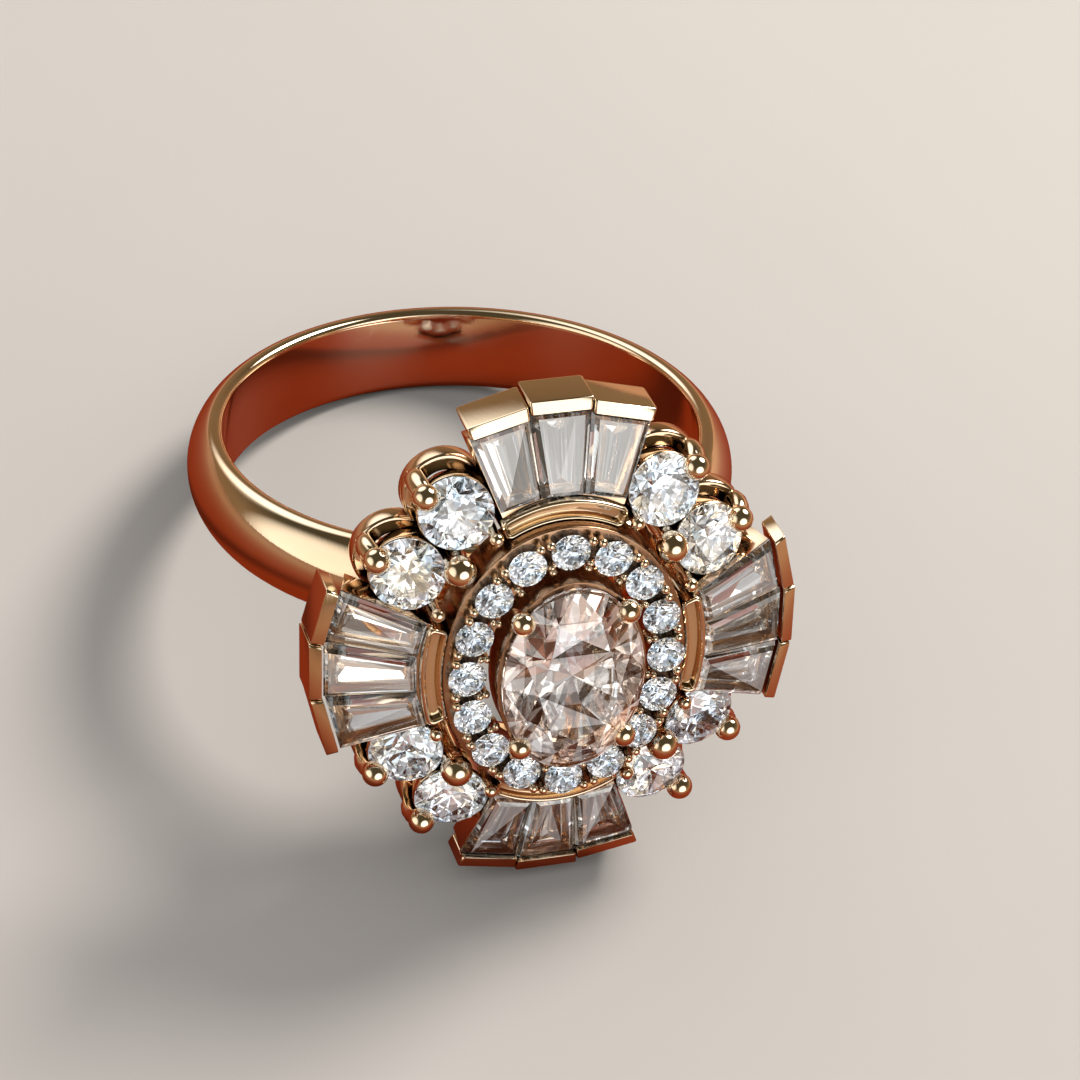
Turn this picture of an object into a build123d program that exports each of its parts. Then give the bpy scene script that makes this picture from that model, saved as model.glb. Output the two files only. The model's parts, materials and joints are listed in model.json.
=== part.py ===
from build123d import *
import os
from math import atan2, cos, degrees, hypot, radians, sin, sqrt, tan

# Cocktail ring: an oval brilliant in a halo, four fans of tapered baguettes and four pairs of round
# brilliants on an open gallery above a plain domed band. Millimetres.
# The ring lies on its side as it rests on a flat surface: +Z is up, the origin is the centre of the
# finger hole and the head faces -Y, leaning back by the angle at which the ring comes to rest.
#
# Head coordinates used below: x across the finger, f along the finger axis ("north" is +f),
# h outwards from the finger axis through the middle of the head.

# ---- driving dimensions -------------------------------------------------------------------------
finger_radius = 8.65            # US size 7
band_width = 3.3
band_side_radius = 9.15         # outer radius of the flat sides of the band
band_crown_radius = 9.95        # outer radius on the middle of the dome
band_inner_bevel = 0.28         # comfort fit

centre_stone_x = 4.94 / 2       # 5 x 7 mm oval
centre_stone_f = 7.02 / 2
centre_stone_h = 15.20          # height of the girdle above the finger axis

halo_stone_diameter = 1.32
halo_stone_count = 16
halo_path_x = 3.46              # semi-axes of the oval line through the halo stones
halo_path_f = 4.46
halo_girdle_h = 14.45
halo_inner_half = 0.42          # ring of the halo, inside and outside the stone line
halo_outer_half = 0.78
halo_top_drop = 0.32            # the stones stand this much above the ring
halo_depth = 1.50
halo_culet_hole = 0.35          # drilled under each stone
halo_bead_radius = 0.155
halo_bead_stem = 0.11
halo_bead_offset = 0.44         # distance of the two bead rows from the stone line

rail_width = 0.74               # grooved curved bars between the halo and the baguettes
rail_depth = 1.50
rail_groove_width = 0.38
rail_groove_depth = 0.25
rail_corner = 0.30
rail_end_angle = 2.6            # the groove stops short of each end by this angle

baguette_gap = 0.03
baguette_girdle_drop = 0.22     # girdle below the table
baguette_girdle_height = 0.07
baguette_blank_depth = 1.60
# step facets: inset from the girdle outline and height against the table
baguette_crown = [(0.0, -baguette_girdle_drop), (0.10, -0.09), (0.24, 0.0)]
baguette_pavilion = [(0.0, -baguette_girdle_drop - baguette_girdle_height), (0.12, -0.56),
                     (0.28, -0.84), (0.46, -1.04), (0.66, -1.18)]
baguette_end_share = 0.75       # the facets at the two ends are set in less than those along the sides
frame_depth = 1.05              # frames hang from the girdles of the baguettes
frame_bar = 0.42                # bars around the open back of each baguette
frame_lip = 0.20                # frames reach in under the rails' outer edge by this much
plate_thickness = 0.45
plate_depth = 1.55
plate_rise = 0.08               # end plates above the baguette tables

round_diameter = 2.55
round_lean = 14.0
collet_radius = 1.31
collet_wall = 0.30
collet_rim_top = -0.05
collet_rim_depth = 1.00
collet_taper = 0.10             # the collet is narrower at its lower edge
loop_radius = 1.45              # open loops under the collets, on the gallery rail
loop_wall = 0.62
loop_height = 0.72
loop_reach = 1.03               # distance of the loops from the head axis, against the stones'

gallery_x = 5.00                # outer semi-axes of the oval gallery rail on the band
gallery_f = 6.20
gallery_wall = 0.90
gallery_top_h = 11.20
gallery_under_radius = 9.60     # underside follows the finger at this radius
gallery_window_bearings = (22, 62, 118, 158, 202, 242, 298, 338)
gallery_window_length = 2.60
gallery_window_height = 0.90
gallery_window_h = 10.35
post_radius = 0.38
post_reach_x = 4.55
post_reach_f = 5.52
post_offset = 1.20              # posts stand in pairs this far each side of the head's axes

# wings: bearing of the fan, distance from the head axis to the inner and outer ends of the middle
# baguette, the heights of its table there, the wedge angle of one baguette and the distance by
# which the middle baguette and end plate stand out
long_wing = dict(inner=6.04, outer=8.72, inner_h=13.55, outer_h=12.85, spread=13.4, step=0.15)
short_wing = dict(inner=5.13, outer=8.03, inner_h=14.01, outer_h=13.00, spread=14.3, step=0.05)
wings = {
    "north": dict(bearing=90, **long_wing),
    "west": dict(bearing=180, **short_wing),
    "south": dict(bearing=270, **long_wing),
    "east": dict(bearing=0, **short_wing),
}
rail_half_angle = 23.0
rail_rise = 0.14                # rail crests above the baguette tables

# quadrants: signs of x and f
quadrants = {
    "north_east": (1, 1),
    "north_west": (-1, 1),
    "south_west": (-1, -1),
    "south_east": (1, -1),
}
round_seats = [(3.58, 5.62, 13.05), (5.22, 3.53, 13.09)]    # x, f, h of the girdle centres
# claws of one quadrant: x, f, h of the tip ball, ball radius, shaft radius at the foot
outer_claws = [(4.64, 6.40, 13.22, 0.37, 0.40), (6.28, 4.20, 13.22, 0.37, 0.40)]
inner_claws = [(2.42, 4.97, 13.95, 0.24, 0.22), (4.38, 2.36, 14.00, 0.24, 0.22)]
shared_claw = (3.65, 3.94, 13.98, 0.55, 0.38)
claw_neck = 0.82                # shaft radius under the ball, as a share of the ball's
# outer claws bow outwards: distance beyond the tip, height below it and radius against the foot's
outer_bow = [(0.14, -1.75, 0.80), (0.24, -1.15, 0.95), (0.14, -0.50, 0.88)]

centre_claw_x = 1.80
centre_claw_f = 2.42
centre_claw_h = 15.28
centre_claw_ball = 0.41
centre_claw_shaft = 0.31
centre_claw_foot_shaft = 0.27
centre_foot_x = 1.75            # outer semi-axes of the small ring that stands on the band
centre_foot_f = 2.35
centre_foot_wall = 0.60
centre_foot_top_h = 10.75
seat_rim_x = 2.58
seat_rim_f = 3.62
seat_rim_wall = 0.48
seat_rim_top_h = 15.02
seat_rim_depth = 1.20

# ---- frame of the head --------------------------------------------------------------------------
wing_slope = {name: degrees(atan2(w["inner_h"] - w["outer_h"], w["outer"] - w["inner"]))
              for name, w in wings.items()}

# The ring rests on the back edge of the band and on the lower edge of the south end plates.
south = wings["south"]
south_lean = radians(wing_slope["south"])
south_overhang = plate_thickness + south["step"]
rest_reach = south["outer"] + south_overhang * cos(south_lean) + plate_rise * sin(south_lean)
rest_height = south["outer_h"] - south_overhang * sin(south_lean) + plate_rise * cos(south_lean)
rest_height -= plate_depth
rest_lean = atan2(rest_reach - band_width / 2, rest_height + band_side_radius)

head_up = Vector(0, -cos(rest_lean), sin(rest_lean))
finger_direction = Vector(0, sin(rest_lean), cos(rest_lean))
head_plane = Plane(origin=(0, 0, 0), x_dir=(1, 0, 0), z_dir=head_up)
finger_plane = Plane(origin=(0, 0, 0), x_dir=(1, 0, 0), z_dir=finger_direction)
band_profile_plane = Plane(origin=(0, 0, 0), x_dir=head_up, z_dir=(-1, 0, 0))
finger_axis = Axis((0, 0, 0), finger_direction)


def head_seat(x, f, h, bearing=0.0, lean=0.0):
    """Plane on the head: its x axis points along the bearing and its normal leans the same way."""
    placed = head_plane.location * Location((x, f, h), (0, 0, bearing))
    return Plane(placed * Location((0, 0, 0), (0, lean, 0)))


def wing_seat(name):
    """Plane through the tables of a wing's baguettes, at the inner end of the middle one."""
    wing = wings[name]
    bearing = radians(wing["bearing"])
    x = wing["inner"] * cos(bearing)
    f = wing["inner"] * sin(bearing)
    return head_seat(x, f, wing["inner_h"], wing["bearing"], wing_slope[name])


def oval_point(semi_x, semi_f, angle):
    """Point of an oval around the head axis, at a bearing in degrees."""
    c, s = cos(radians(angle)), sin(radians(angle))
    reach = 1 / sqrt((c / semi_x) ** 2 + (s / semi_f) ** 2)
    return (reach * c, reach * s)


def save(piece, name):
    """Label a finished piece and write it as its own STEP file."""
    piece.part.label = name
    export_step(piece.part, f"parts/{name}.step")


# ---- gems ---------------------------------------------------------------------------------------
def brilliant(semi_x, semi_f, seat):
    """Brilliant cut with its girdle on the seat plane; the oval cut is the round one stretched along f."""
    table, crown_angle, star_angle, upper_angle = 0.57, 34.5, 22.0, 42.0
    pavilion_angle, lower_angle, girdle = 40.75, 42.3, 0.035
    girdle_step = 9             # degrees between the corners of the girdle outline
    half_step = cos(radians(11.25))
    crown_height = girdle + (1 - table) * tan(radians(crown_angle))
    culet_depth = girdle + tan(radians(pavilion_angle))
    table_reach = table * cos(radians(22.5))

    # each row: facet count, first bearing, slope, distance from the axis, height it passes through
    facets = [
        (8, 0.0, crown_angle, 1.0, girdle),
        (8, 22.5, star_angle, table_reach, crown_height),
        (16, 11.25, upper_angle, half_step, girdle),
        (8, 0.0, 180 - pavilion_angle, 1.0, -girdle),
        (16, 11.25, 180 - lower_angle, half_step, -girdle),
    ]
    with BuildPart() as stone:
        with BuildSketch(seat.offset(-culet_depth * semi_x)):
            with BuildLine():
                Polyline([(semi_x * cos(radians(a)), semi_f * sin(radians(a)))
                          for a in range(0, 360, girdle_step)], close=True)
            make_face()
        extrude(amount=(culet_depth + crown_height) * semi_x)
        for count, first, slope, reach, height in facets:
            for i in range(count):
                bearing = radians(first + i * 360 / count)
                normal = Vector(sin(radians(slope)) * cos(bearing) / semi_x,
                                sin(radians(slope)) * sin(bearing) / semi_f,
                                cos(radians(slope)) / semi_x)
                point = Vector(reach * cos(bearing) * semi_x, reach * sin(bearing) * semi_f, height * semi_x)
                facing = seat.from_local_coords(normal) - seat.origin
                facet = Plane(origin=seat.from_local_coords(point), z_dir=facing)
                split(bisect_by=facet, keep=Keep.BOTTOM)
    return stone


# ---- band and gallery ---------------------------------------------------------------------------
os.makedirs("parts", exist_ok=True)

half_band = band_width / 2
half_bore = half_band - band_inner_bevel
bevel_radius = finger_radius + band_inner_bevel
with BuildPart() as shank:
    with BuildSketch(band_profile_plane):
        with BuildLine():
            Polyline((band_side_radius, -half_band), (bevel_radius, -half_band), (finger_radius, -half_bore),
                     (finger_radius, half_bore), (bevel_radius, half_band), (band_side_radius, half_band))
            ThreePointArc((band_side_radius, half_band), (band_crown_radius, 0),
                          (band_side_radius, -half_band))
        make_face()
    revolve(axis=finger_axis)
save(shank, "shank")

with BuildPart() as gallery_rail:
    with BuildSketch(head_plane):
        Ellipse(gallery_x, gallery_f)
        Ellipse(gallery_x - gallery_wall, gallery_f - gallery_wall, mode=Mode.SUBTRACT)
    extrude(amount=gallery_top_h)
    with BuildSketch(finger_plane):
        Circle(gallery_under_radius)
    extrude(amount=gallery_f, both=True, mode=Mode.SUBTRACT)
    for bearing in gallery_window_bearings:
        with BuildSketch(head_seat(0, 0, gallery_window_h, bearing, 90)):
            SlotOverall(gallery_window_length, gallery_window_height, rotation=90)
        extrude(amount=gallery_f * 2, mode=Mode.SUBTRACT)
    add(shank.part, mode=Mode.SUBTRACT)
save(gallery_rail, "gallery_rail")


# ---- stones of the halo, the middle and the quadrants ------------------------------------------
halo_line = Edge.make_ellipse(halo_path_x, halo_path_f)
halo_seats = []
halo_gap_seats = []
for i in range(halo_stone_count):
    here = halo_line.position_at(i / halo_stone_count)
    halo_seats.append(head_seat(here.X, here.Y, halo_girdle_h))
    gap = (i + 0.5) / halo_stone_count
    middle = halo_line.position_at(gap)
    along = halo_line.tangent_at(gap)
    facing = degrees(atan2(-along.X, along.Y))
    halo_gap_seats.append(head_seat(middle.X, middle.Y, halo_girdle_h, facing))

halo_gem = brilliant(halo_stone_diameter / 2, halo_stone_diameter / 2, Plane.XY)
with BuildPart() as halo_stones:
    with Locations(*halo_seats):
        add(halo_gem.part)
save(halo_stones, "halo_stones")

centre_stone = brilliant(centre_stone_x, centre_stone_f, head_seat(0, 0, centre_stone_h))
save(centre_stone, "centre_stone")

round_gem = brilliant(round_diameter / 2, round_diameter / 2, Plane.XY)
round_planes = {}
round_stones = {}
for quadrant, (side_x, side_f) in quadrants.items():
    round_planes[quadrant] = []
    for x, f, h in round_seats:
        bearing = degrees(atan2(side_f * f, side_x * x))
        round_planes[quadrant].append(head_seat(side_x * x, side_f * f, h, bearing, round_lean))
    with BuildPart() as stones:
        with Locations(*round_planes[quadrant]):
            add(round_gem.part)
    save(stones, f"round_stones_{quadrant}")
    round_stones[quadrant] = stones


# ---- tapered baguettes --------------------------------------------------------------------------
def baguette_outline(near, far, spread, inset, gap=baguette_gap):
    """Corner points of a wedge-shaped baguette, seen along its table, set in from its girdle."""
    half = radians(spread / 2)
    edge = gap / 2 + inset
    near_width = (near + inset) * tan(half) - edge / cos(half)
    far_width = (far - inset) * tan(half) - edge / cos(half)
    return [(near + inset, -near_width), (far - inset, -far_width),
            (far - inset, far_width), (near + inset, near_width)]


def cut_baguette(near, far, spread):
    """Step-cut tapered baguette with its table on the XY plane and the fan's apex at the origin."""
    half = radians(spread / 2)
    side_distance = -baguette_gap / 2
    # outward normal of each edge of the outline, its distance from the apex and the share of the inset
    edges = [(Vector(-1, 0, 0), -near, baguette_end_share), (Vector(1, 0, 0), far, baguette_end_share),
             (Vector(-sin(half), cos(half), 0), side_distance, 1),
             (Vector(-sin(half), -cos(half), 0), side_distance, 1)]
    with BuildPart() as gem:
        with BuildSketch():
            with BuildLine():
                Polyline(baguette_outline(near, far, spread, 0), close=True)
            make_face()
        extrude(amount=-baguette_blank_depth)
        for profile, facing in ((baguette_crown, 1), (baguette_pavilion, -1)):
            for (inset, level), (next_inset, next_level) in zip(profile, profile[1:]):
                for normal, distance, share in edges:
                    slope = normal * (next_level - level) + Vector(0, 0, (next_inset - inset) * share)
                    origin = normal * (distance - inset * share) + Vector(0, 0, level)
                    split(bisect_by=Plane(origin=origin, z_dir=slope * facing), keep=Keep.BOTTOM)
    return gem


def fan_plane(name, turn):
    """Wing plane moved back to the apex of the fan and turned about it."""
    reach = wings[name]["inner"] / cos(radians(wing_slope[name]))
    seat = wing_seat(name)
    return Plane(seat.location * Location((-reach, 0, 0), (0, 0, turn)))


def fan_reach(name):
    """Distances from the apex of a fan to the inner and outer ends of its baguettes, along the slope."""
    wing = wings[name]
    slope = cos(radians(wing_slope[name]))
    near = wing["inner"] / slope
    return near, near + (wing["outer"] - wing["inner"]) / slope


wing_gems = {}
for name, wing in wings.items():
    near, far = fan_reach(name)
    spread = wing["spread"]
    middle_gem = cut_baguette(near, far + wing["step"], spread)
    side_gem = cut_baguette(near, far, spread)
    wing_gems[name] = []
    fan = [("middle", 0, middle_gem), ("left", spread, side_gem), ("right", -spread, side_gem)]
    for place, turn, gem in fan:
        with BuildPart() as baguette:
            with Locations(fan_plane(name, turn)):
                add(gem.part)
        save(baguette, f"baguette_{name}_{place}")
        wing_gems[name].append(baguette)


# ---- halo ---------------------------------------------------------------------------------------
halo_outer_x = halo_path_x + halo_outer_half
halo_outer_f = halo_path_f + halo_outer_half
halo_top_h = halo_girdle_h - halo_top_drop

with BuildPart() as halo_ring:
    with BuildSketch(head_plane.offset(halo_top_h - halo_depth)):
        Ellipse(halo_outer_x, halo_outer_f)
        Ellipse(halo_path_x - halo_inner_half, halo_path_f - halo_inner_half, mode=Mode.SUBTRACT)
    extrude(amount=halo_depth)
    for seat in halo_seats:
        with BuildSketch(seat):
            Circle(halo_culet_hole)
        extrude(amount=-halo_depth * 2, mode=Mode.SUBTRACT)
    add(halo_stones.part, mode=Mode.SUBTRACT)
save(halo_ring, "halo_ring")

bead_seats = [Plane(gap.location * Location((side * halo_bead_offset, 0, 0)))
              for gap in halo_gap_seats for side in (-1, 1)]
with BuildPart() as halo_beads:
    with Locations(*bead_seats):
        Cylinder(halo_bead_stem, halo_top_drop * 2, align=(Align.CENTER, Align.CENTER, Align.MAX))
        Sphere(halo_bead_radius)
    add(halo_ring.part, mode=Mode.SUBTRACT)
    add(halo_stones.part, mode=Mode.SUBTRACT)
save(halo_beads, "halo_beads")


# ---- centre setting -----------------------------------------------------------------------------
with BuildPart() as centre_foot:
    with BuildSketch(head_plane):
        Ellipse(centre_foot_x, centre_foot_f)
        Ellipse(centre_foot_x - centre_foot_wall, centre_foot_f - centre_foot_wall, mode=Mode.SUBTRACT)
    extrude(amount=centre_foot_top_h)
    with BuildSketch(finger_plane):
        Circle(gallery_under_radius)
    extrude(amount=gallery_f, both=True, mode=Mode.SUBTRACT)
    add(shank.part, mode=Mode.SUBTRACT)
save(centre_foot, "centre_foot_ring")


def straight_claw(foot, tip, foot_radius, neck_radius, ball_radius):
    """Claw revolved in one piece: a tapered shaft from the foot to a ball at the tip."""
    start = head_plane.from_local_coords(Vector(*foot))
    end = head_plane.from_local_coords(Vector(*tip))
    length = (end - start).length
    neck_level = length - sqrt(ball_radius ** 2 - neck_radius ** 2)
    beside = Vector(1, 0, 0).cross(end - start)
    with BuildPart() as shape:
        with BuildSketch(Plane(origin=start, x_dir=beside, z_dir=beside.cross(end - start))):
            with BuildLine():
                Polyline((0, length + ball_radius), (0, 0), (foot_radius, 0), (neck_radius, neck_level))
                ThreePointArc((neck_radius, neck_level), (ball_radius, length), (0, length + ball_radius))
            make_face()
        revolve(axis=Axis(start, end - start))
    return shape


def bowed_claw(stations, ball_radius):
    """Claw lofted through round sections up to a ball tip; a station is x, f, h and radius."""
    centres = [head_plane.from_local_coords(Vector(*station[:3])) for station in stations]
    with BuildPart() as shape:
        for i, centre in enumerate(centres):
            before = centres[max(i - 1, 0)]
            after = centres[min(i + 1, len(centres) - 1)]
            with BuildSketch(Plane(origin=centre, x_dir=(1, 0, 0), z_dir=after - before)):
                Circle(stations[i][3])
        loft()
        with Locations(Plane(origin=centres[-1], x_dir=(1, 1, 0), z_dir=head_up)):
            Sphere(ball_radius)
    return shape


foot_line_x = centre_foot_x - centre_foot_wall / 2
foot_line_f = centre_foot_f - centre_foot_wall / 2
claw_foot_x, claw_foot_f = oval_point(foot_line_x, foot_line_f, degrees(atan2(centre_claw_f, centre_claw_x)))
centre_claw_shapes = []
for side_x, side_f in quadrants.values():
    foot = (side_x * claw_foot_x, side_f * claw_foot_f, centre_foot_top_h)
    tip = (side_x * centre_claw_x, side_f * centre_claw_f, centre_claw_h)
    claw = straight_claw(foot, tip, centre_claw_foot_shaft, centre_claw_shaft, centre_claw_ball)
    centre_claw_shapes.append(claw)

with BuildPart() as centre_claws:
    for shape in centre_claw_shapes:
        add(shape.part)
    add(centre_stone.part, mode=Mode.SUBTRACT)
    add(centre_foot.part, mode=Mode.SUBTRACT)
save(centre_claws, "centre_claws")

with BuildPart() as seat_rim:
    with BuildSketch(head_plane.offset(seat_rim_top_h - seat_rim_depth)):
        Ellipse(seat_rim_x, seat_rim_f)
        Ellipse(seat_rim_x - seat_rim_wall, seat_rim_f - seat_rim_wall, mode=Mode.SUBTRACT)
    extrude(amount=seat_rim_depth)
    add(centre_stone.part, mode=Mode.SUBTRACT)
    add(centre_claws.part, mode=Mode.SUBTRACT)
save(seat_rim, "centre_seat_rim")


# ---- collets of the round stones and the loops below them --------------------------------------
with BuildPart() as plain_collet:
    with BuildSketch(Plane.XZ):
        with BuildLine():
            Polyline((collet_radius, collet_rim_top), (collet_radius - collet_taper, -collet_rim_depth),
                     (collet_radius - collet_taper - collet_wall, -collet_rim_depth),
                     (collet_radius - collet_wall, collet_rim_top), close=True)
        make_face()
    revolve(axis=Axis.Z)
    add(round_gem.part, mode=Mode.SUBTRACT)

collets = {}
loops = {}
for quadrant, (side_x, side_f) in quadrants.items():
    with BuildPart() as pair:
        with Locations(*round_planes[quadrant]):
            add(plain_collet.part)
    save(pair, f"collets_{quadrant}")
    collets[quadrant] = pair

    with BuildPart() as loop_pair:
        loop_centres = [(side_x * x * loop_reach, side_f * f * loop_reach) for x, f, h in round_seats]
        with BuildSketch(head_plane.offset(gallery_top_h)):
            with Locations(*loop_centres):
                Circle(loop_radius)
            with Locations(*loop_centres):
                Circle(loop_radius - loop_wall, mode=Mode.SUBTRACT)
        extrude(amount=loop_height)
    save(loop_pair, f"loops_{quadrant}")
    loops[quadrant] = loop_pair


# ---- wings: rail, frame and end plates ---------------------------------------------------------
rail_outer_x = halo_outer_x + rail_width
rail_outer_f = halo_outer_f + rail_width
groove_inset = (rail_width - rail_groove_width) / 2
sector_reach = gallery_f * 2    # well beyond the rails


def sector(bearing, half_angle):
    """Triangular outline from the head axis that keeps a stretch of an oval ring."""
    first = radians(bearing - half_angle)
    last = radians(bearing + half_angle)
    return [(0, 0), (sector_reach * cos(first), sector_reach * sin(first)),
            (sector_reach * cos(last), sector_reach * sin(last))]


def ring_stretch(level, inner, outer, bearing, half_angle):
    """Flat stretch of an oval ring between two pairs of semi-axes, at a height of the head."""
    with BuildSketch(head_plane.offset(level)) as stretch:
        Ellipse(*outer)
        Ellipse(*inner, mode=Mode.SUBTRACT)
        Polygon(*sector(bearing, half_angle), align=None, mode=Mode.INTERSECT)
    return stretch.sketch


rails = {}
for name, wing in wings.items():
    crest = wing["inner_h"] + rail_rise
    bar_outline = ring_stretch(crest, (halo_outer_x, halo_outer_f), (rail_outer_x, rail_outer_f),
                               wing["bearing"], rail_half_angle)
    groove_outline = ring_stretch(crest, (halo_outer_x + groove_inset, halo_outer_f + groove_inset),
                                  (rail_outer_x - groove_inset, rail_outer_f - groove_inset),
                                  wing["bearing"], rail_half_angle - rail_end_angle)
    with BuildPart() as rail:
        extrude(bar_outline, amount=-rail_depth)
        fillet(rail.edges().filter_by(Axis((0, 0, 0), head_up)), rail_corner)
        extrude(groove_outline, amount=-rail_groove_depth, mode=Mode.SUBTRACT)
    save(rail, f"rail_{name}")
    rails[name] = rail

for name, wing in wings.items():
    near, far = fan_reach(name)
    spread = wing["spread"]
    girdle_level = -baguette_girdle_drop - baguette_girdle_height
    # each place in the fan: turn and the far end of its baguette
    places = [(0, far + wing["step"]), (spread, far), (-spread, far)]

    with BuildPart() as ends:
        for turn, end in places:
            with BuildSketch(fan_plane(name, turn).offset(plate_rise)):
                with BuildLine():
                    Polyline(baguette_outline(end, end + plate_thickness, spread, 0), close=True)
                make_face()
            extrude(amount=plate_depth, dir=-head_up)
        for gem in wing_gems[name]:
            add(gem.part, mode=Mode.SUBTRACT)
    save(ends, f"end_plates_{name}")

    with BuildPart() as frame:
        for turn, end in places:
            with BuildSketch(fan_plane(name, turn).offset(girdle_level)):
                with BuildLine():
                    Polyline(baguette_outline(near - frame_lip, end, spread, 0, 0), close=True)
                make_face()
            extrude(amount=-frame_depth)
        for turn, end in places:
            with BuildSketch(fan_plane(name, turn).offset(girdle_level)):
                with BuildLine():
                    Polyline(baguette_outline(near, end, spread, frame_bar), close=True)
                make_face()
            extrude(amount=-2 * frame_depth, mode=Mode.SUBTRACT)
        for gem in wing_gems[name]:
            add(gem.part, mode=Mode.SUBTRACT)
        add(rails[name].part, mode=Mode.SUBTRACT)
        add(ends.part, mode=Mode.SUBTRACT)
        for quadrant in quadrants:
            if name in quadrant:
                add(collets[quadrant].part, mode=Mode.SUBTRACT)
    save(frame, f"frame_{name}")


# ---- gallery posts ------------------------------------------------------------------------------
with BuildPart() as gallery_posts:
    for name, wing in wings.items():
        rail_under = wing["inner_h"] + rail_rise - rail_depth
        along_f = wing["bearing"] % 180 == 90
        side = 1 if wing["bearing"] < 180 else -1
        if along_f:
            spots = [(across, side * post_reach_f) for across in (-post_offset, post_offset)]
        else:
            spots = [(side * post_reach_x, across) for across in (-post_offset, post_offset)]
        with BuildSketch(head_plane.offset(gallery_top_h)):
            with Locations(*spots):
                Circle(post_radius)
        extrude(amount=rail_under - gallery_top_h)
save(gallery_posts, "gallery_posts")


# ---- claws of the round stones -----------------------------------------------------------------
def rising_claw(size, sides, foot_h):
    """Claw that rises straight to its tip."""
    x, f, h, ball_radius, foot_radius = size
    side_x, side_f = sides
    foot = (side_x * x, side_f * f, foot_h)
    tip = (side_x * x, side_f * f, h)
    return straight_claw(foot, tip, foot_radius, ball_radius * claw_neck, ball_radius)


def outer_claw(size, sides):
    """Claw that bows outwards between its loop and its tip."""
    x, f, h, ball_radius, foot_radius = size
    side_x, side_f = sides
    reach = hypot(x, f)
    stations = []
    for beyond, below, share in outer_bow:
        scale = 1 + beyond / reach
        stations.append((side_x * x * scale, side_f * f * scale, h + below, foot_radius * share))
    stations.append((side_x * x, side_f * f, h, ball_radius * claw_neck))
    return bowed_claw(stations, ball_radius)


for quadrant, sides in quadrants.items():
    groups = {
        "outer_claws": [outer_claw(size, sides) for size in outer_claws],
        "inner_claws": [rising_claw(size, sides, gallery_top_h + loop_height) for size in inner_claws],
        "shared_claw": [rising_claw(shared_claw, sides, gallery_top_h)],
    }
    for group, shapes in groups.items():
        with BuildPart() as claws:
            for shape in shapes:
                add(shape.part)
            add(round_stones[quadrant].part, mode=Mode.SUBTRACT)
            add(collets[quadrant].part, mode=Mode.SUBTRACT)
            add(loops[quadrant].part, mode=Mode.SUBTRACT)
            for name in quadrant.split("_"):
                add(rails[name].part, mode=Mode.SUBTRACT)
        save(claws, f"{group}_{quadrant}")
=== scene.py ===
import json
from math import cos, pi, radians, sin, sqrt

import bmesh
import bpy
import numpy as np
from mathutils import Matrix, Vector


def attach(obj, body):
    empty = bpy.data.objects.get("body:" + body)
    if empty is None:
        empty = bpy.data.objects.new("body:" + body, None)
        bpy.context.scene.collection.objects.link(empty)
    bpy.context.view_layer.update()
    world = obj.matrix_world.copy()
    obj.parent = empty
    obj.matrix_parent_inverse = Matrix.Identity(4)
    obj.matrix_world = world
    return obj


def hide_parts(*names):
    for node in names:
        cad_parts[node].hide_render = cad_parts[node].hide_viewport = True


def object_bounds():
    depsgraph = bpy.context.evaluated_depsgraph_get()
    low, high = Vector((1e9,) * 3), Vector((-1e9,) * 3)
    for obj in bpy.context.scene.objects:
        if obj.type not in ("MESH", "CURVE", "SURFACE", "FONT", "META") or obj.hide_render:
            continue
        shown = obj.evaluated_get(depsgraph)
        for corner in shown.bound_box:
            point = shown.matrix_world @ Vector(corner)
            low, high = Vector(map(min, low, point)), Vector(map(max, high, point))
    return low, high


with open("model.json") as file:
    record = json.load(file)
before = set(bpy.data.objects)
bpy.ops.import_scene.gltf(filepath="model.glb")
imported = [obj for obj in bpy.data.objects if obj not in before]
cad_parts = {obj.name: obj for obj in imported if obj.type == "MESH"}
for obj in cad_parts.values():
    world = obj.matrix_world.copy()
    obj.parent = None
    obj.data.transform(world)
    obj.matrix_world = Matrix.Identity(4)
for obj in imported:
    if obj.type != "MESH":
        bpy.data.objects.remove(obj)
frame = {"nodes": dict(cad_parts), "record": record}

cad_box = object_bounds()
MM = 0.001
BODY = "root"
WELD = 0.002 * MM               # vertices this close are one
DIAMOND_IOR = 2.417

# ---- frame of the head --------------------------------------------------------------------------
# Head coordinates are millimetres: x across the finger, f along the finger axis, h outwards.
bore = next(m for m in frame["record"]["mounts"] if m["name"] == "finger_bore")
finger = Vector(bore["axis"]).normalized()
across = Vector((1, 0, 0))
outward = across.cross(finger)
UP = Vector((0, 0, 1))          # outward, in head coordinates


def head(point):
    """Point given in head coordinates, in metres in the row frame."""
    x, f, h = point
    return (across * x + finger * f + outward * h) * MM


def islands(node):
    """Separate solids of a CAD node, each as an array of points in head coordinates."""
    build = bmesh.new()
    build.from_mesh(frame["nodes"][node].data)
    bmesh.ops.remove_doubles(build, verts=build.verts, dist=WELD)
    waiting = set(build.verts)
    found = []
    while waiting:
        stack = [waiting.pop()]
        points = []
        while stack:
            vert = stack.pop()
            points.append([vert.co.dot(axis) / MM for axis in (across, finger, outward)])
            for edge in vert.link_edges:
                other = edge.other_vert(vert)
                if other in waiting:
                    waiting.remove(other)
                    stack.append(other)
        found.append(np.array(points))
    build.free()
    return sorted(found, key=lambda cloud: tuple(cloud.mean(axis=0).round(3)))


# ---- mesh helpers -------------------------------------------------------------------------------
def loft(build, rings, loop=False):
    """Skin rings of head points with quads; the ends are capped unless the rings run in a loop."""
    rows = [[build.verts.new(head(point)) for point in ring] for ring in rings]
    pairs = list(zip(rows, rows[1:]))
    if loop:
        pairs.append((rows[-1], rows[0]))
    for low, high in pairs:
        for i in range(len(low)):
            j = (i + 1) % len(low)
            build.faces.new((low[i], low[j], high[j], high[i]))
    if not loop:
        build.faces.new(list(reversed(rows[0])))
        build.faces.new(rows[-1])


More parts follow.
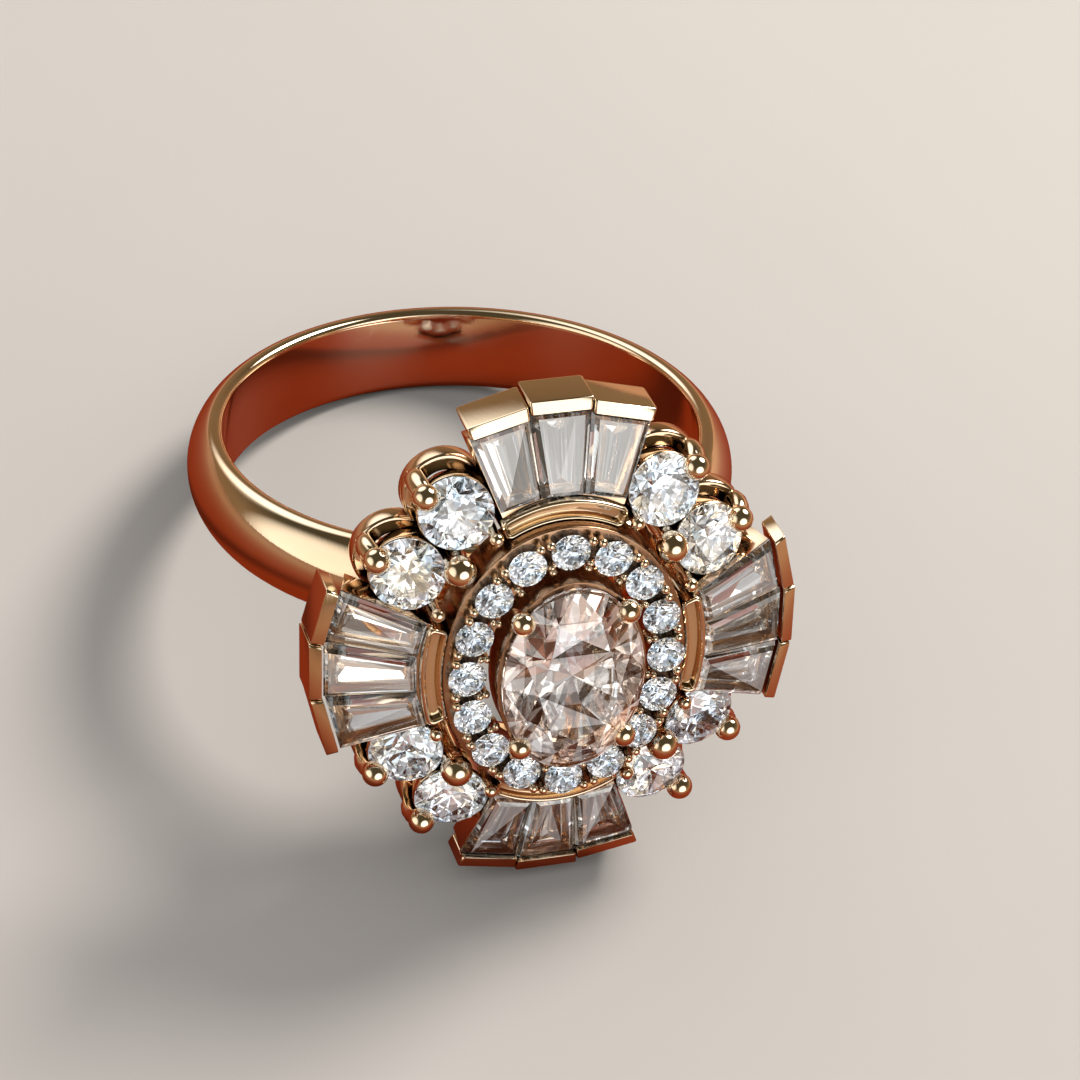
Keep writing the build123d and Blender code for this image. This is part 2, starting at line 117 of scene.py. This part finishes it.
def lathe(build, centre, axis, profile, steps=48, closed=False):
    """Turn a profile of (radius, height) pairs about an axis through the centre."""
    axis = Vector(axis).normalized()
    side = axis.orthogonal().normalized()
    other = axis.cross(side)
    centre = Vector(centre)
    rings = []
    for radius, height in profile:
        rings.append([centre + axis * height + (side * cos(a) + other * sin(a)) * radius
                      for a in (2 * pi * k / steps for k in range(steps))])
    loft(build, rings, loop=closed)


def rounded(corners, steps=5):
    """Closed outline with its corners rounded; a corner is x, y and the length taken off each side."""
    outline = []
    for i, (x, y, cut) in enumerate(corners):
        here = Vector((x, y))
        if not cut:
            outline.append(here)
            continue
        before = Vector(corners[i - 1][:2])
        after = Vector(corners[(i + 1) % len(corners)][:2])
        start = here + (before - here).normalized() * cut
        end = here + (after - here).normalized() * cut
        for k in range(steps + 1):
            t = k / steps
            outline.append(start * (1 - t) ** 2 + here * 2 * t * (1 - t) + end * t ** 2)
    return outline


def piece(name, build, material, nodes, sharp=38):
    """Finished piece that rides on the ring and stands for its CAD nodes."""
    bmesh.ops.recalc_face_normals(build, faces=build.faces)
    mesh = bpy.data.meshes.new(name)
    build.to_mesh(mesh)
    build.free()
    for face in mesh.polygons:
        face.use_smooth = True
    mesh.set_sharp_from_angle(angle=radians(sharp))
    mesh.materials.append(material)
    made = bpy.data.objects.new(name, mesh)
    bpy.context.scene.collection.objects.link(made)
    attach(made, BODY)
    if nodes:
        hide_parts(*nodes)
    return made


# ---- node helpers -------------------------------------------------------------------------------
class Nodes:
    """Short names for building a node tree."""

    def __init__(self, tree):
        self.tree = tree
        self.tree.nodes.clear()

    def add(self, kind, inputs=None, **settings):
        node = self.tree.nodes.new(kind)
        for key, value in settings.items():
            setattr(node, key, value)
        for key, value in (inputs or {}).items():
            self.feed(node.inputs[key], value)
        return node

    def feed(self, socket, value):
        if isinstance(value, bpy.types.NodeSocket):
            self.tree.links.new(value, socket)
        else:
            socket.default_value = value

    def math(self, operation, a, b=0.0, c=0.0, clamp=False):
        node = self.add("ShaderNodeMath", operation=operation, use_clamp=clamp)
        for socket, value in zip(node.inputs, (a, b, c)):
            self.feed(socket, value)
        return node.outputs[0]

    def noise(self, place, scale, detail=2.0):
        node = self.add("ShaderNodeTexNoise", inputs={"Vector": place, "Scale": scale, "Detail": detail})
        return node.outputs["Fac"]

    def dot(self, a, b):
        node = self.add("ShaderNodeVectorMath", operation="DOT_PRODUCT")
        self.feed(node.inputs[0], a)
        self.feed(node.inputs[1], b)
        return node.outputs["Value"]

    def smooth(self, value, low, high, to_low=0.0, to_high=1.0):
        node = self.add("ShaderNodeMapRange", interpolation_type="SMOOTHSTEP",
                        inputs={"Value": value, "From Min": low, "From Max": high,
                                "To Min": to_low, "To Max": to_high})
        return node.outputs["Result"]

    def mix(self, factor, a, b, blend="MIX"):
        node = self.add("ShaderNodeMix", data_type="RGBA", blend_type=blend)
        for name, value in (("Factor_Float", factor), ("A_Color", a), ("B_Color", b)):
            self.feed(next(s for s in node.inputs if s.identifier == name), value)
        return next(s for s in node.outputs if s.identifier == "Result_Color")


def rgb(r, g, b):
    return (r, g, b, 1.0)


def new_material(name):
    material = bpy.data.materials.new(name)
    material.use_nodes = True
    return material, Nodes(material.node_tree)


# ---- materials ----------------------------------------------------------------------------------
def polished_gold(name, colour, deep, roughness, scratch):
    """Rose gold: colour drift, painted shade that darkens corners and hollows while open edges keep the full
    colour, hairline scratches.
    """
    material, n = new_material(name)
    place = n.add("ShaderNodeTexCoord").outputs["Object"]
    drift = n.noise(place, 260.0, 3.0)
    smudge = n.noise(place, 900.0, 4.0)
    mapping = n.add("ShaderNodeMapping", inputs={"Vector": place, "Scale": (1.0, 0.12, 0.12)})
    stretch = mapping.outputs["Vector"]
    hairline = n.noise(stretch, 24000.0)
    ripple = n.noise(place, 420.0, 1.0)
    # painted shade: ambient occlusion finds corners, creases and the gaps between parts, and the colour is
    # darkened there
    corner = n.add("ShaderNodeAmbientOcclusion", samples=6, inputs={"Distance": 0.65 * MM}).outputs["AO"]
    tone = n.mix(n.smooth(drift, 0.35, 0.65), colour, deep)
    # where the occlusion is strong the colour goes towards a tenth of the deep colour: painted shade
    tone = n.mix(n.smooth(corner, 0.12, 0.62), rgb(*[c * 0.10 for c in deep[:3]]), tone)
    marks = n.smooth(smudge, 0.52, 0.75)
    rough = n.math("MULTIPLY_ADD", marks, 0.09 * scratch, roughness)
    height = n.math("ADD", n.math("MULTIPLY", hairline, 0.25 * scratch), ripple)
    bump = n.add("ShaderNodeBump", inputs={"Height": height, "Strength": 0.05, "Distance": 0.00008})
    shader = n.add("ShaderNodeBsdfPrincipled", inputs={
        "Base Color": tone, "Metallic": 1.0, "Roughness": rough, "Normal": bump.outputs["Normal"]})
    n.add("ShaderNodeOutputMaterial", inputs={"Surface": shader.outputs["BSDF"]})
    return material


def diamond(name, tint, warm, cool, glow):
    """Clear cut stone; each facet has its own painted tint of fire and a painted darkening that stands in for
    reflection contrast, and the brightest facets carry a faint painted glint that glows.
    """
    material, n = new_material(name)
    geometry = n.add("ShaderNodeNewGeometry")
    island = n.math("MULTIPLY", geometry.outputs["Random Per Island"], 7.0)
    normal = geometry.outputs["True Normal"]
    facet = n.math("FRACT", n.math("MULTIPLY_ADD", n.noise(normal, 4.3, 0.0), 5.0, island))
    hue = n.noise(normal, 7.1, 0.0)
    place = n.add("ShaderNodeTexCoord").outputs["Object"]
    haze = n.noise(place, 700.0, 3.0)
    # painted shade: each facet's colour is darkened by its own amount, standing in for the dark and bright
    # reflections of a cut stone
    strength = n.smooth(facet, 0.0, 0.38, 0.48, 1.0)
    # painted fire: facets take warm or cool tints of dispersed light
    painted_fire = n.mix(n.smooth(hue, 0.60, 0.68), n.mix(n.smooth(hue, 0.40, 0.32), tint, cool), warm)
    colour = n.mix(1.0, painted_fire, strength, blend="MULTIPLY")
    roughness = n.smooth(haze, 0.62, 0.80, 0.0, 0.012)
    glass = n.add("ShaderNodeBsdfGlass", inputs={"Color": colour, "Roughness": roughness, "IOR": DIAMOND_IOR})
    # painted glint: the brightest facets give off light faintly, though the stone is no lamp
    glow_here = n.smooth(facet, 0.66, 0.72, 0.0, glow)
    glint = n.add("ShaderNodeEmission", inputs={"Color": painted_fire, "Strength": glow_here})
    both = n.add("ShaderNodeAddShader")
    n.feed(both.inputs[0], glass.outputs["BSDF"])
    n.feed(both.inputs[1], glint.outputs["Emission"])
    n.add("ShaderNodeOutputMaterial", inputs={"Surface": both.outputs["Shader"]})
    return material


GOLD = polished_gold("rose_gold_polished", rgb(0.98, 0.83, 0.62), rgb(0.95, 0.76, 0.54), 0.05, 1.0)
GOLD_CAST = polished_gold("rose_gold_cast", rgb(0.94, 0.73, 0.53), rgb(0.88, 0.63, 0.43), 0.08, 1.6)
# darker, rougher copy of the gold for the drilled seats; the darker colour is painted shade
GOLD_SEAT_SHADED = polished_gold("rose_gold_seat_shaded", rgb(0.46, 0.30, 0.19), rgb(0.34, 0.20, 0.12), 0.20, 1.6)
GEM = diamond("diamond_round", rgb(0.97, 0.98, 1.0), rgb(1.0, 0.93, 0.80), rgb(0.84, 0.93, 1.0), 0.20)
GEM_CENTRE = diamond(
    "diamond_centre", rgb(1.0, 0.96, 0.93), rgb(1.0, 0.88, 0.76), rgb(0.88, 0.95, 1.0), 0.23)
GEM_STEP = diamond(
    "diamond_step_cut", rgb(0.985, 0.985, 0.98), rgb(1.0, 0.94, 0.86), rgb(0.88, 0.95, 1.0), 0.16)

GEM_FINISH = {"centre_stone": GEM_CENTRE, "halo_stones": GEM, "round_stones": GEM, "baguette": GEM_STEP}
EDGE_WIDTHS = {"end_plates": 0.09, "loops": 0.12}
CAST_NODES = ("gallery", "frame", "centre_foot", "loops")
SEAT_NODES = ("halo_ring", "centre_seat_rim")   # the drilled seats are rougher, and their darker colour is painted shade for the deep undercut between the stones


def dress_cad_nodes():
    """Give every carried-over CAD node its material; metal also gets softened edges."""
    for name, node in frame["nodes"].items():
        node.data.materials.clear()
        gem = next((finish for start, finish in GEM_FINISH.items() if name.startswith(start)), None)
        if gem:
            node.data.materials.append(gem)
            continue
        finish = GOLD_CAST if name.startswith(CAST_NODES) else GOLD
        if name.startswith(SEAT_NODES):
            finish = GOLD_SEAT_SHADED
        node.data.materials.append(finish)
        weld = node.modifiers.new("weld", "WELD")
        weld.merge_threshold = WELD
        bevel = node.modifiers.new("soft_edges", "BEVEL")
        bevel.width = next((w for start, w in EDGE_WIDTHS.items() if name.startswith(start)), 0.05) * MM
        bevel.segments = 3
        bevel.limit_method = "ANGLE"
        bevel.angle_limit = radians(32)
        split = node.modifiers.new("crisp_normals", "EDGE_SPLIT")
        split.split_angle = radians(33)
        for face in node.data.polygons:
            face.use_smooth = True


dress_cad_nodes()


# ---- band ---------------------------------------------------------------------------------------
def polished_band():
    """Domed band with rounded edges, turned about the finger axis."""
    points = islands("shank")[0]
    radii = np.hypot(points[:, 0], points[:, 2])
    half_width = points[:, 1].max()
    inner, crown = radii.min(), radii.max()
    edge_points = radii[np.abs(points[:, 1]) > half_width - 0.01]
    shoulder = edge_points.max()
    sagitta = crown - shoulder
    dome_radius = (half_width ** 2 + sagitta ** 2) / (2 * sagitta)
    inner_round, outer_round = 0.28, 0.18       # taken off the corners of the section
    dome_share = 0.93                           # of the half width that the dome's points reach
    corners = [(inner, -half_width, inner_round), (shoulder, -half_width, outer_round)]
    for k in range(1, 24):
        across_band = half_width * (k / 12 - 1) * dome_share
        corners.append((crown - dome_radius + sqrt(dome_radius ** 2 - across_band ** 2), across_band, 0))
    corners += [(shoulder, half_width, outer_round), (inner, half_width, inner_round)]
    outline = rounded(corners)
    build = bmesh.new()
    steps = 288
    rings = []
    for k in range(steps):
        a = 2 * pi * k / steps
        rings.append([(r * cos(a), f, r * sin(a)) for r, f in outline])
    loft(build, rings, loop=True)
    piece("band_polished", build, GOLD, ["shank"])


# ---- claws --------------------------------------------------------------------------------------
BALL_STEPS = 12


def ball_of(cloud):
    """Centre and radius of the ball at the top of a claw."""
    top = cloud[:, 2].max()
    cap = cloud[cloud[:, 2] > top - 0.03]
    x, f = cap[:, 0].mean(), cap[:, 1].mean()
    near = cloud[cloud[:, 2] > top - 0.75]
    reach = np.sort(np.hypot(near[:, 0] - x, near[:, 1] - f))
    radius = float(reach[-3:].mean())
    return Vector((x, f, top - radius)), radius


def foot_of(cloud):
    """Centre and radius of the lower end of a claw."""
    low = cloud[cloud[:, 2] < cloud[:, 2].min() + 0.03]
    centre = low.mean(axis=0)
    radius = float(np.hypot(low[:, 0] - centre[0], low[:, 1] - centre[1]).max())
    return Vector(centre), radius


def straight_claw(build, cloud, waist=0.80):
    """Tapered shaft, drawn in a little below a round ball tip."""
    ball, radius = ball_of(cloud)
    foot, foot_radius = foot_of(cloud)
    length = (ball - foot).length
    neck = waist * radius
    start = -sqrt(radius ** 2 - neck ** 2)
    profile = [(foot_radius, 0.0), (foot_radius * 0.97, length * 0.35), (neck * 0.95, length * 0.72),
               (neck * 0.93, length + start * 1.35)]
    for k in range(BALL_STEPS + 1):
        latitude = -0.5 + (k / BALL_STEPS) * (0.985 * pi / 2 + 0.5)
        profile.append((radius * cos(latitude), length + radius * sin(latitude)))
    lathe(build, foot, ball - foot, profile, steps=32)


def horn_claw(build, cloud, loop_top):
    """Outer claw: a broad horn that rises from the loop, bows outwards and ends in a ball."""
    ball, radius = ball_of(cloud)
    away = Vector((ball.x, ball.y, 0)).normalized()
    beside = UP.cross(away)
    drop = ball.z - loop_top
    # share of the drop below the ball, distance outwards, half width and half thickness
    stations = [(1.10, 0.04, 0.22, 0.18), (1.00, 0.14, 0.28, 0.22), (0.85, 0.23, 0.33, 0.26),
                (0.65, 0.27, 0.36, 0.28), (0.45, 0.22, 0.37, 0.30), (0.25, 0.12, 0.36, 0.31)]
    centres = [ball + away * out - UP * (drop * share) for share, out, wide, thick in stations]
    rings = []
    steps = 28
    for i, centre in enumerate(centres):
        before = centres[max(i - 1, 0)]
        after = centres[min(i + 1, len(centres) - 1)]
        along = (after - before).normalized()
        normal = beside.cross(along)
        wide, thick = stations[i][2:]
        rings.append([centre + beside * cos(a) * wide + normal * sin(a) * thick
                      for a in (2 * pi * k / steps for k in range(steps))])
    normal = beside.cross(UP)
    for k in range(BALL_STEPS + 1):
        latitude = -0.55 + (k / BALL_STEPS) * (0.985 * pi / 2 + 0.55)
        reach = radius * cos(latitude)
        middle = ball + UP * radius * sin(latitude)
        rings.append([middle + (beside * cos(a) + normal * sin(a)) * reach
                      for a in (2 * pi * k / steps for k in range(steps))])
    loft(build, rings)


QUADRANTS = ("north_east", "north_west", "south_west", "south_east")


def polished_claws():
    """All claws of the quadrants and of the centre stone."""
    for quadrant in QUADRANTS:
        loop_top = np.concatenate(islands(f"loops_{quadrant}"))[:, 2].max() - 0.15
        for group in ("inner_claws", "shared_claw", "outer_claws"):
            node = f"{group}_{quadrant}"
            build = bmesh.new()
            for cloud in islands(node):
                if group == "outer_claws":
                    horn_claw(build, cloud, loop_top)
                else:
                    straight_claw(build, cloud)
            piece(f"polished_{node}", build, GOLD, [node])
    build = bmesh.new()
    for cloud in islands("centre_claws"):
        straight_claw(build, cloud)
    piece("polished_centre_claws", build, GOLD, ["centre_claws"])


# ---- collets and loops --------------------------------------------------------------------------
def ring_of(cloud):
    """Centre, axis, outer and inner radius of a ring-shaped solid, and its points' heights on the axis."""
    centred = cloud - cloud.mean(axis=0)
    axis = np.linalg.svd(centred, full_matrices=False)[2][2]
    axis = Vector(axis) * (1 if axis[2] > 0 else -1)
    heights = centred @ np.array(axis)
    radial = np.linalg.norm(centred - np.outer(heights, np.array(axis)), axis=1)
    return Vector(cloud.mean(axis=0)), axis, float(radial.max()), float(radial.min()), heights


def polished_collets():
    """Collet rings with a rounded rim."""
    for quadrant in QUADRANTS:
        build = bmesh.new()
        for cloud in islands(f"collets_{quadrant}"):
            centre, axis, outer, inner, heights = ring_of(cloud)
            low, high = float(heights.min()), float(heights.max())
            outline = rounded([(outer - 0.10, low, 0.05), (outer, high - 0.12, 0.06),
                               (outer - 0.02, high, 0.06), (outer - 0.10, high, 0.03),
                               (outer - 0.24, high - 0.26, 0.0),
                               (inner, low + 0.1, 0.03), (inner, low, 0.03)])
            lathe(build, centre, axis, [(p.x, p.y) for p in outline], steps=72, closed=True)
        piece(f"polished_collets_{quadrant}", build, GOLD, [f"collets_{quadrant}"])


# ---- rails --------------------------------------------------------------------------------------
RAILS = {"north": 90, "west": 180, "south": 270, "east": 0}


def polished_rails():
    """Curved bars with two rounded ridges around a closed groove."""
    # steps of the section from the foot to the floor of the groove: inset and height below the crest
    section = [(0.0, 1.5), (0.0, 0.13), (0.015, 0.06), (0.05, 0.015), (0.09, 0.0), (0.13, 0.015),
               (0.165, 0.06), (0.185, 0.13), (0.20, 0.24), (0.23, 0.29), (0.34, 0.30)]
    corner_cut = 0.30           # taken off the corners of the bar, seen from above
    for name, bearing in RAILS.items():
        cloud = islands(f"rail_{name}")[0]
        angle = radians(bearing)
        toward = np.array([cos(angle), sin(angle)])
        plan = cloud[:, :2]
        crest = cloud[:, 2].max()
        forward = plan @ toward
        sideways = plan @ np.array([-sin(angle), cos(angle)])
        middle = forward[np.abs(sideways) < 0.5]
        inner, outer = middle.min(), middle.max()
        half_width = (outer - inner) / 2
        line = (outer + inner) / 2
        # the bar follows an oval: fit its other semi-axis from its outer corners
        outer_points = cloud[np.abs(np.abs(sideways) - np.abs(sideways).max()) < 0.6]
        far = max(outer_points, key=lambda p: p[:2] @ toward)
        along, off = float(far[:2] @ toward), float(abs(far[:2] @ np.array([-sin(angle), cos(angle)])))
        other = off / sqrt(max(1e-6, 1 - (min(along, outer - 1e-4) / outer) ** 2))
        half_angle = float(np.degrees(np.abs(np.arctan2(sideways, forward)).max()))
        build = bmesh.new()
        rings = []
        for inset, below in section:
            long_half = radians(half_angle) * line - inset
            wide_half = half_width - inset
            cut = min(max(0.02, corner_cut - inset), wide_half * 0.98)
            outline = rounded([(-long_half, -wide_half, cut), (long_half, -wide_half, cut),
                               (long_half, wide_half, cut), (-long_half, wide_half, cut)], steps=6)
            ring = []
            for start, end in zip(outline, outline[1:] + outline[:1]):
                pieces_here = 24 if (end - start).length > 1.0 else 1
                for k in range(pieces_here):
                    s, v = start + (end - start) * (k / pieces_here)
                    turn = s / line
                    a, b = line + v, other - half_width + v
                    r = 1 / sqrt((cos(turn) / a) ** 2 + (sin(turn) / b) ** 2)
                    ring.append((r * cos(angle + turn), r * sin(angle + turn), crest - below))
            rings.append(ring)
        loft(build, rings)
        piece(f"polished_rail_{name}", build, GOLD, [f"rail_{name}"])


# ---- halo ---------------------------------------------------------------------------------------
def halo_beads():
    """Twin beads between the halo stones: side by side outside the stone line, in line inside it."""
    tips = [ball_of(cloud) for cloud in islands("halo_beads")]
    stones = np.abs([cloud.mean(axis=0) for cloud in islands("halo_stones")])
    semi_x, semi_f = stones[:, 0].max(), stones[:, 1].max()
    bead_apart, bead_lift = 0.18, 0.05
    build = bmesh.new()
    for ball, _ in tips:
        away = Vector((ball.x / semi_x ** 2, ball.y / semi_f ** 2, 0)).normalized()
        beside = UP.cross(away)
        beyond = (ball.x / semi_x) ** 2 + (ball.y / semi_f) ** 2 > 1
        if beyond:
            spots = [(ball + beside * bead_apart + UP * bead_lift, 0.16),
                     (ball - beside * bead_apart + UP * bead_lift, 0.16)]
        else:
            spots = [(ball + away * 0.06 + UP * bead_lift, 0.12), (ball - away * 0.16, 0.14)]
        for spot, size in spots:
            profile = [(size * 0.75, -0.45)]
            for k in range(9):
                latitude = -0.7 + (k / 8) * (0.98 * pi / 2 + 0.7)
                profile.append((size * cos(latitude), size * sin(latitude)))
            lathe(build, spot, UP, profile, steps=20)
    piece("polished_halo_beads", build, GOLD, ["halo_beads"])


polished_band()
polished_claws()
polished_collets()
polished_rails()
halo_beads()


# ---- floor, light and camera -------------------------------------------------------------------
def make_floor():
    """Plain pale floor; glossy rays see it painted deep orange near the ring and copper further off, a
    painted reflection in the metal, and transmission rays see it pinkish, a painted reflection in the stones.
    """
    mesh = bpy.data.meshes.new("floor")
    build = bmesh.new()
    bmesh.ops.create_circle(build, cap_ends=True, segments=128, radius=0.6)
    build.to_mesh(mesh)
    build.free()
    floor = bpy.data.objects.new("floor", mesh)
    floor.location = (0, 0, cad_box[0][2])
    bpy.context.scene.collection.objects.link(floor)
    material, n = new_material("floor_pale")
    place = n.add("ShaderNodeTexCoord").outputs["Object"]
    grain = n.noise(place, 60.0, 4.0)
    pale = n.mix(grain, rgb(0.74, 0.70, 0.66), rgb(0.70, 0.66, 0.62))
    rays = n.add("ShaderNodeLightPath")
    # painted reflection: stones see the floor pinkish, though it is pale
    seen_in_gem = n.mix(rays.outputs["Is Transmission Ray"], pale, rgb(0.66, 0.45, 0.37))
    distance = n.add("ShaderNodeVectorMath", operation="LENGTH", inputs={0: place}).outputs["Value"]
    # painted reflection: metal sees the floor deep orange near the ring and copper further off, though it is
    # pale
    seen_in_metal = n.mix(n.smooth(distance, 0.008, 0.060), rgb(0.26, 0.028, 0.004), rgb(0.42, 0.22, 0.12))
    colour = n.mix(rays.outputs["Is Glossy Ray"], seen_in_gem, seen_in_metal)
    shader = n.add("ShaderNodeBsdfPrincipled", inputs={
        "Base Color": colour, "Roughness": 0.6, "Specular IOR Level": 0.08})
    n.add("ShaderNodeOutputMaterial", inputs={"Surface": shader.outputs["BSDF"]})
    mesh.materials.append(material)


def make_world():
    """Soft studio: even light for the floor, panels for the metal and small reflectors for the stones."""
    world = bpy.data.worlds.new("studio")
    bpy.context.scene.world = world
    world.use_nodes = True
    n = Nodes(world.node_tree)
    direction = n.add("ShaderNodeTexCoord").outputs["Generated"]
    up = n.add("ShaderNodeSeparateXYZ", inputs={"Vector": direction}).outputs["Z"]
    room = n.mix(n.smooth(up, 0.0, 0.6), rgb(0.24, 0.15, 0.08), rgb(0.07, 0.058, 0.036))
    # each panel: direction, angular radius, softness, colour, strength
    panels = [
        ((0.64, 0.36, 0.68), 15, 6, (1.0, 0.97, 0.92), 3.8),
        ((0.22, -0.92, 0.30), 22, 14, (1.0, 0.98, 0.95), 1.7),
        ((-0.95, -0.15, 0.25), 16, 22, (1.0, 0.96, 0.90), 1.1),
        ((-0.30, 0.80, 0.52), 10, 20, (1.0, 0.98, 0.95), 1.5),
    ]
    light = room
    for aim, radius, softness, colour, strength in panels:
        facing = n.dot(direction, tuple(Vector(aim).normalized()))
        mask = n.smooth(facing, cos(radians(radius + softness)), cos(radians(radius)))
        lit = n.mix(mask, rgb(0, 0, 0), rgb(*[c * strength for c in colour]))
        light = n.mix(1.0, light, lit, blend="ADD")
    # what the stones gather: many small reflectors of different strength
    cells = n.add("ShaderNodeTexVoronoi", inputs={"Vector": direction, "Scale": 2.7})
    pick = n.add("ShaderNodeSeparateColor", inputs={"Color": cells.outputs["Color"]})
    power = n.math("POWER", pick.outputs["Red"], 1.7)
    gain = n.math("MULTIPLY_ADD", power, 3.4, 0.08)
    sheen = n.mix(pick.outputs["Green"], rgb(1.0, 0.92, 0.84), rgb(0.90, 0.96, 1.0))
    sparkle = n.mix(1.0, sheen, gain, blend="MULTIPLY")
    even = n.mix(n.smooth(up, -0.1, 1.0), rgb(0.50, 0.47, 0.44), rgb(0.46, 0.46, 0.47))
    rays = n.add("ShaderNodeLightPath")
    seen_or_mirrored = n.mix(rays.outputs["Is Glossy Ray"], even, light)
    around = n.mix(rays.outputs["Is Transmission Ray"], seen_or_mirrored, sparkle)
    background = n.add("ShaderNodeBackground", inputs={"Color": around})
    n.add("ShaderNodeOutputWorld", inputs={"Surface": background.outputs["Background"]})


def make_key_light():
    """One soft box behind and to the right, which throws the soft shadow to the front left."""
    data = bpy.data.lights.new("key", "AREA")
    data.shape = "DISK"
    data.size = 0.13
    data.energy = 0.95
    data.color = (1.0, 0.95, 0.88)
    key = bpy.data.objects.new("key", data)
    direction = Vector((0.66, 0.34, 0.67)).normalized()
    key.location = direction * 0.35
    key.rotation_mode = "QUATERNION"
    key.rotation_quaternion = direction.to_track_quat("Z", "Y")
    bpy.context.scene.collection.objects.link(key)


def make_camera():
    """Camera at the reference viewing angle, placed against the head and slightly rolled."""
    location = head((-32.35, 70.55, 120.91))
    aim = head((1.291, 0.093, 6.322))
    level = head((0.9635, 0.0271, 0.2662)).normalized()
    away = (location - aim).normalized()
    right = (level - away * level.dot(away)).normalized()
    camera_data = bpy.data.cameras.new("camera")
    camera_data.sensor_width = 36
    camera_data.lens = 130.8
    camera_data.clip_start = 0.005
    camera = bpy.data.objects.new("camera", camera_data)
    rotation = Matrix((right, away.cross(right), away)).transposed()
    camera.matrix_world = Matrix.Translation(location) @ rotation.to_4x4()
    bpy.context.scene.collection.objects.link(camera)
    bpy.context.scene.camera = camera


make_floor()
make_world()
make_key_light()
make_camera()

scene = bpy.context.scene
scene.cycles.max_bounces = 24
scene.cycles.transmission_bounces = 24
scene.cycles.glossy_bounces = 10
scene.cycles.caustics_refractive = False
scene.cycles.caustics_reflective = False
scene.cycles.sample_clamp_indirect = 8.0
scene.view_settings.view_transform = "Standard"
